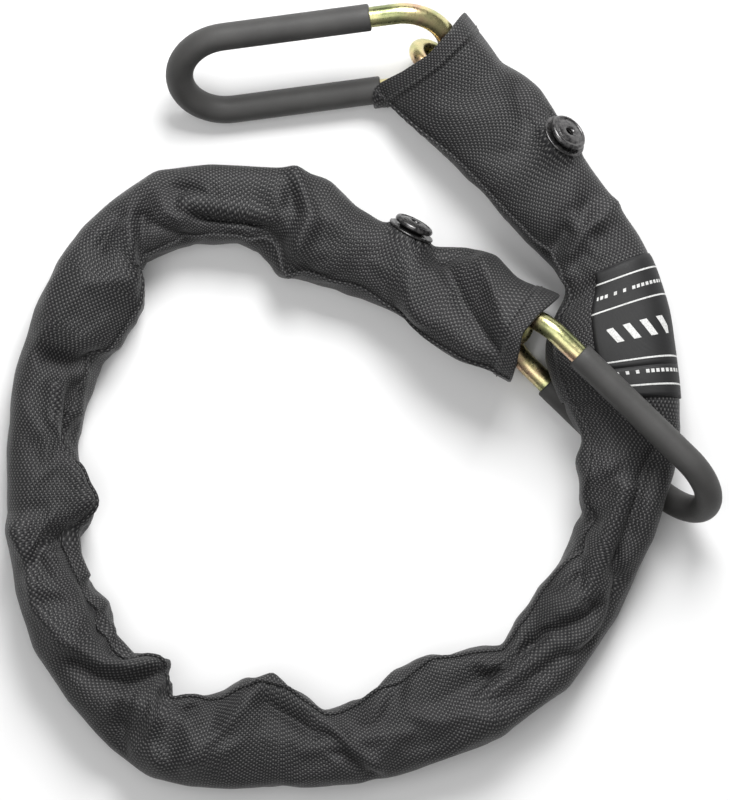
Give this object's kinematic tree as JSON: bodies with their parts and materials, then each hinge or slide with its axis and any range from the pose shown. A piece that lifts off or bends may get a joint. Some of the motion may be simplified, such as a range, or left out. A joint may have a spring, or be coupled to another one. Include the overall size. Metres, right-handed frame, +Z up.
{
  "type": "chain lock",
  "caption": "Noose chain lock: steel chain in a woven sleeve with a rubber-covered oblong end loop at each end, one strand passed through the other loop.",
  "frame": {"origin": "middle of the lock's plan outline, on the surface it lies on", "axes": "+Z up from the surface; +Y across the noose towards the free end loop, the longest way; +X towards the strand that passes through the second loop"},
  "size_m": [0.2756, 0.3024, 0.0451],
  "materials": {
    "zinc_plated_steel": "yellow zinc plated, satin",
    "black_rubber": "matte",
    "woven_nylon": "basket weave with a soft sheen",
    "label_fabric": "satin woven patch",
    "black_stud_metal": "gloss black"
  },
  "bodies": {
    "link_01": {"link_01": "zinc_plated_steel", "sleeve_01": "woven_nylon", "hem_a": "woven_nylon"},
    "link_02": {"link_02": "zinc_plated_steel"},
    "link_03": {"link_03": "zinc_plated_steel", "sleeve_02": "woven_nylon", "stud_a_flange": "black_stud_metal"},
    "link_04": {"link_04": "zinc_plated_steel"},
    "link_05": {"link_05": "zinc_plated_steel", "sleeve_03": "woven_nylon", "label": "label_fabric"},
    "link_06": {"link_06": "zinc_plated_steel"},
    "link_07": {"link_07": "zinc_plated_steel", "sleeve_04": "woven_nylon"},
    "link_08": {"link_08": "zinc_plated_steel"},
    "link_09": {"link_09": "zinc_plated_steel", "sleeve_05": "woven_nylon"},
    "link_10": {"link_10": "zinc_plated_steel"},
    "link_11": {"link_11": "zinc_plated_steel", "sleeve_06": "woven_nylon"},
    "link_12": {"link_12": "zinc_plated_steel"},
    "link_13": {"link_13": "zinc_plated_steel", "sleeve_07": "woven_nylon"},
    "link_14": {"link_14": "zinc_plated_steel"},
    "link_15": {"link_15": "zinc_plated_steel", "sleeve_08": "woven_nylon"},
    "link_16": {"link_16": "zinc_plated_steel"},
    "link_17": {"link_17": "zinc_plated_steel", "sleeve_09": "woven_nylon"},
    "link_18": {"link_18": "zinc_plated_steel"},
    "link_19": {"link_19": "zinc_plated_steel", "sleeve_10": "woven_nylon"},
    "link_20": {"link_20": "zinc_plated_steel"},
    "link_21": {"link_21": "zinc_plated_steel", "sleeve_11": "woven_nylon"},
    "link_22": {"link_22": "zinc_plated_steel"},
    "link_23": {"link_23": "zinc_plated_steel", "sleeve_12": "woven_nylon", "stud_b_flange": "black_stud_metal"},
    "link_24": {"link_24": "zinc_plated_steel", "sleeve_13": "woven_nylon", "hem_b": "woven_nylon"},
    "loop_a": {"loop_a": "zinc_plated_steel", "loop_a_rubber": "black_rubber"},
    "loop_b": {"loop_b": "zinc_plated_steel", "loop_b_rubber": "black_rubber"},
    "stud_a_cap": {"stud_a_cap": "black_stud_metal"},
    "stud_b_cap": {"stud_b_cap": "black_stud_metal"}
  },
  "joints": [
    {"name": "tail_bend_05", "type": "hinge", "parent": "link_06", "child": "link_05", "pos_m": [0.10475, -0.00816, 0.02039], "axis": [0, 0, 1], "range_deg": [-12, 0], "deforming": ["sleeve_03", "label"]},
    {"name": "tail_bend_04", "type": "hinge", "parent": "link_05", "child": "link_04", "pos_m": [0.09947, 0.0309, 0.01604], "axis": [0, 0, 1], "range_deg": [-14, 0]},
    {"name": "tail_bend_03", "type": "hinge", "parent": "link_04", "child": "link_03", "pos_m": [0.09011, 0.05575, 0.01369], "axis": [0, 0, 1], "range_deg": [-16, 0], "deforming": ["sleeve_02"]},
    {"name": "tail_bend_02", "type": "hinge", "parent": "link_03", "child": "link_02", "pos_m": [0.06794, 0.08863, 0.0131], "axis": [0, 0, 1], "range_deg": [-18, 1]},
    {"name": "tail_bend_01", "type": "hinge", "parent": "link_02", "child": "link_01", "pos_m": [0.05239, 0.11029, 0.0129], "axis": [0, 0, 1], "range_deg": [-20, 2], "deforming": ["sleeve_01", "hem_a"]},
    {"name": "loop_a_swing", "type": "hinge", "parent": "link_01", "child": "loop_a", "pos_m": [0.0308, 0.12757, 0.01277], "axis": [0, 0, 1], "range_deg": [-40, 3]},
    {"name": "noose_squeeze", "type": "hinge", "parent": "link_06", "child": "link_07", "pos_m": [0.10051, -0.03448, 0.01996], "axis": [0, 0, 1], "range_deg": [-7, 7], "deforming": ["sleeve_04"]},
    {"name": "noose_bend_08", "type": "hinge", "parent": "link_07", "child": "link_08", "pos_m": [0.08772, -0.07166, 0.01475], "axis": [0, 0, 1], "range_deg": [-7, 7]},
    {"name": "noose_bend_09", "type": "hinge", "parent": "link_08", "child": "link_09", "pos_m": [0.07339, -0.0941, 0.01339], "axis": [0, 0, 1], "range_deg": [-7, 7], "deforming": ["sleeve_05"]},
    {"name": "noose_bend_10", "type": "hinge", "parent": "link_09", "child": "link_10", "pos_m": [0.04188, -0.11818, 0.01307], "axis": [0, 0, 1], "range_deg": [-7, 7]},
    {"name": "noose_bend_11", "type": "hinge", "parent": "link_10", "child": "link_11", "pos_m": [0.01689, -0.12748, 0.0131], "axis": [0, 0, 1], "range_deg": [-7, 7], "deforming": ["sleeve_06"]},
    {"name": "noose_bend_12", "type": "hinge", "parent": "link_11", "child": "link_12", "pos_m": [-0.02221, -0.13411, 0.0131], "axis": [0, 0, 1], "range_deg": [-7, 7]},
    {"name": "noose_bend_13", "type": "hinge", "parent": "link_12", "child": "link_13", "pos_m": [-0.04882, -0.13243, 0.0131], "axis": [0, 0, 1], "range_deg": [-7, 7], "deforming": ["sleeve_07"]},
    {"name": "noose_bend_14", "type": "hinge", "parent": "link_13", "child": "link_14", "pos_m": [-0.0854, -0.11712, 0.0131], "axis": [0, 0, 1], "range_deg": [-7, 7]},
    {"name": "noose_bend_15", "type": "hinge", "parent": "link_14", "child": "link_15", "pos_m": [-0.1038, -0.09783, 0.0131], "axis": [0, 0, 1], "range_deg": [-7, 7], "deforming": ["sleeve_08"]},
    {"name": "noose_bend_16", "type": "hinge", "parent": "link_15", "child": "link_16", "pos_m": [-0.11958, -0.06144, 0.0131], "axis": [0, 0, 1], "range_deg": [-7, 7]},
    {"name": "noose_bend_17", "type": "hinge", "parent": "link_16", "child": "link_17", "pos_m": [-0.12203, -0.0349, 0.0131], "axis": [0, 0, 1], "range_deg": [-7, 7], "deforming": ["sleeve_09"]},
    {"name": "noose_bend_18", "type": "hinge", "parent": "link_17", "child": "link_18", "pos_m": [-0.11784, 0.00454, 0.0131], "axis": [0, 0, 1], "range_deg": [-7, 7]},
    {"name": "noose_bend_19", "type": "hinge", "parent": "link_18", "child": "link_19", "pos_m": [-0.10998, 0.03002, 0.0131], "axis": [0, 0, 1], "range_deg": [-7, 7], "deforming": ["sleeve_10"]},
    {"name": "noose_bend_20", "type": "hinge", "parent": "link_19", "child": "link_20", "pos_m": [-0.08954, 0.064, 0.0131], "axis": [0, 0, 1], "range_deg": [-7, 7]},
    {"name": "noose_bend_21", "type": "hinge", "parent": "link_20", "child": "link_21", "pos_m": [-0.06556, 0.07565, 0.0131], "axis": [0, 0, 1], "range_deg": [-7, 7], "deforming": ["sleeve_11"]},
    {"name": "noose_bend_22", "type": "hinge", "parent": "link_21", "child": "link_22", "pos_m": [-0.02633, 0.06987, 0.01309], "axis": [0, 0, 1], "range_deg": [-7, 7]},
    {"name": "noose_bend_23", "type": "hinge", "parent": "link_22", "child": "link_23", "pos_m": [-0.00324, 0.05654, 0.01348], "axis": [0, 0, 1], "range_deg": [-7, 7], "deforming": ["sleeve_12"]},
    {"name": "noose_bend_24", "type": "hinge", "parent": "link_23", "child": "link_24", "pos_m": [0.03197, 0.03882, 0.01789], "axis": [0, 0, 1], "range_deg": [-7, 7], "deforming": ["sleeve_13", "hem_b"]},
    {"name": "loop_b_swing", "type": "hinge", "parent": "link_24", "child": "loop_b", "pos_m": [0.05581, 0.02944, 0.01921], "axis": [0, 0, 1], "range_deg": [-2, 3]},
    {"name": "stud_a_cap_pull", "type": "slide", "parent": "link_03", "child": "stud_a_cap", "axis": [0.5759, 0.5379, 0.6157], "range_m": [0, 0.006]},
    {"name": "stud_b_cap_pull", "type": "slide", "parent": "link_23", "child": "stud_b_cap", "axis": [0.4491, 0.865, 0.2236], "range_m": [0, 0.006]}
  ],
  "couplings": [
    {"joint": "noose_bend_08", "follows": "noose_squeeze", "ratio": 0.543},
    {"joint": "noose_bend_09", "follows": "noose_squeeze", "ratio": 0.22},
    {"joint": "noose_bend_10", "follows": "noose_squeeze", "ratio": -0.431},
    {"joint": "noose_bend_11", "follows": "noose_squeeze", "ratio": -0.664},
    {"joint": "noose_bend_12", "follows": "noose_squeeze", "ratio": -0.648},
    {"joint": "noose_bend_13", "follows": "noose_squeeze", "ratio": -0.43},
    {"joint": "noose_bend_14", "follows": "noose_squeeze", "ratio": -0.2},
    {"joint": "noose_bend_15", "follows": "noose_squeeze", "ratio": 0.349},
    {"joint": "noose_bend_16", "follows": "noose_squeeze", "ratio": 0.65},
    {"joint": "noose_bend_17", "follows": "noose_squeeze", "ratio": 0.675},
    {"joint": "noose_bend_18", "follows": "noose_squeeze", "ratio": 0.431},
    {"joint": "noose_bend_19", "follows": "noose_squeeze", "ratio": 0.2},
    {"joint": "noose_bend_20", "follows": "noose_squeeze", "ratio": -0.281},
    {"joint": "noose_bend_21", "follows": "noose_squeeze", "ratio": -0.494},
    {"joint": "noose_bend_22", "follows": "noose_squeeze", "ratio": -0.609},
    {"joint": "noose_bend_23", "follows": "noose_squeeze", "ratio": -0.513},
    {"joint": "noose_bend_24", "follows": "noose_squeeze", "ratio": 0.2}
  ]
}
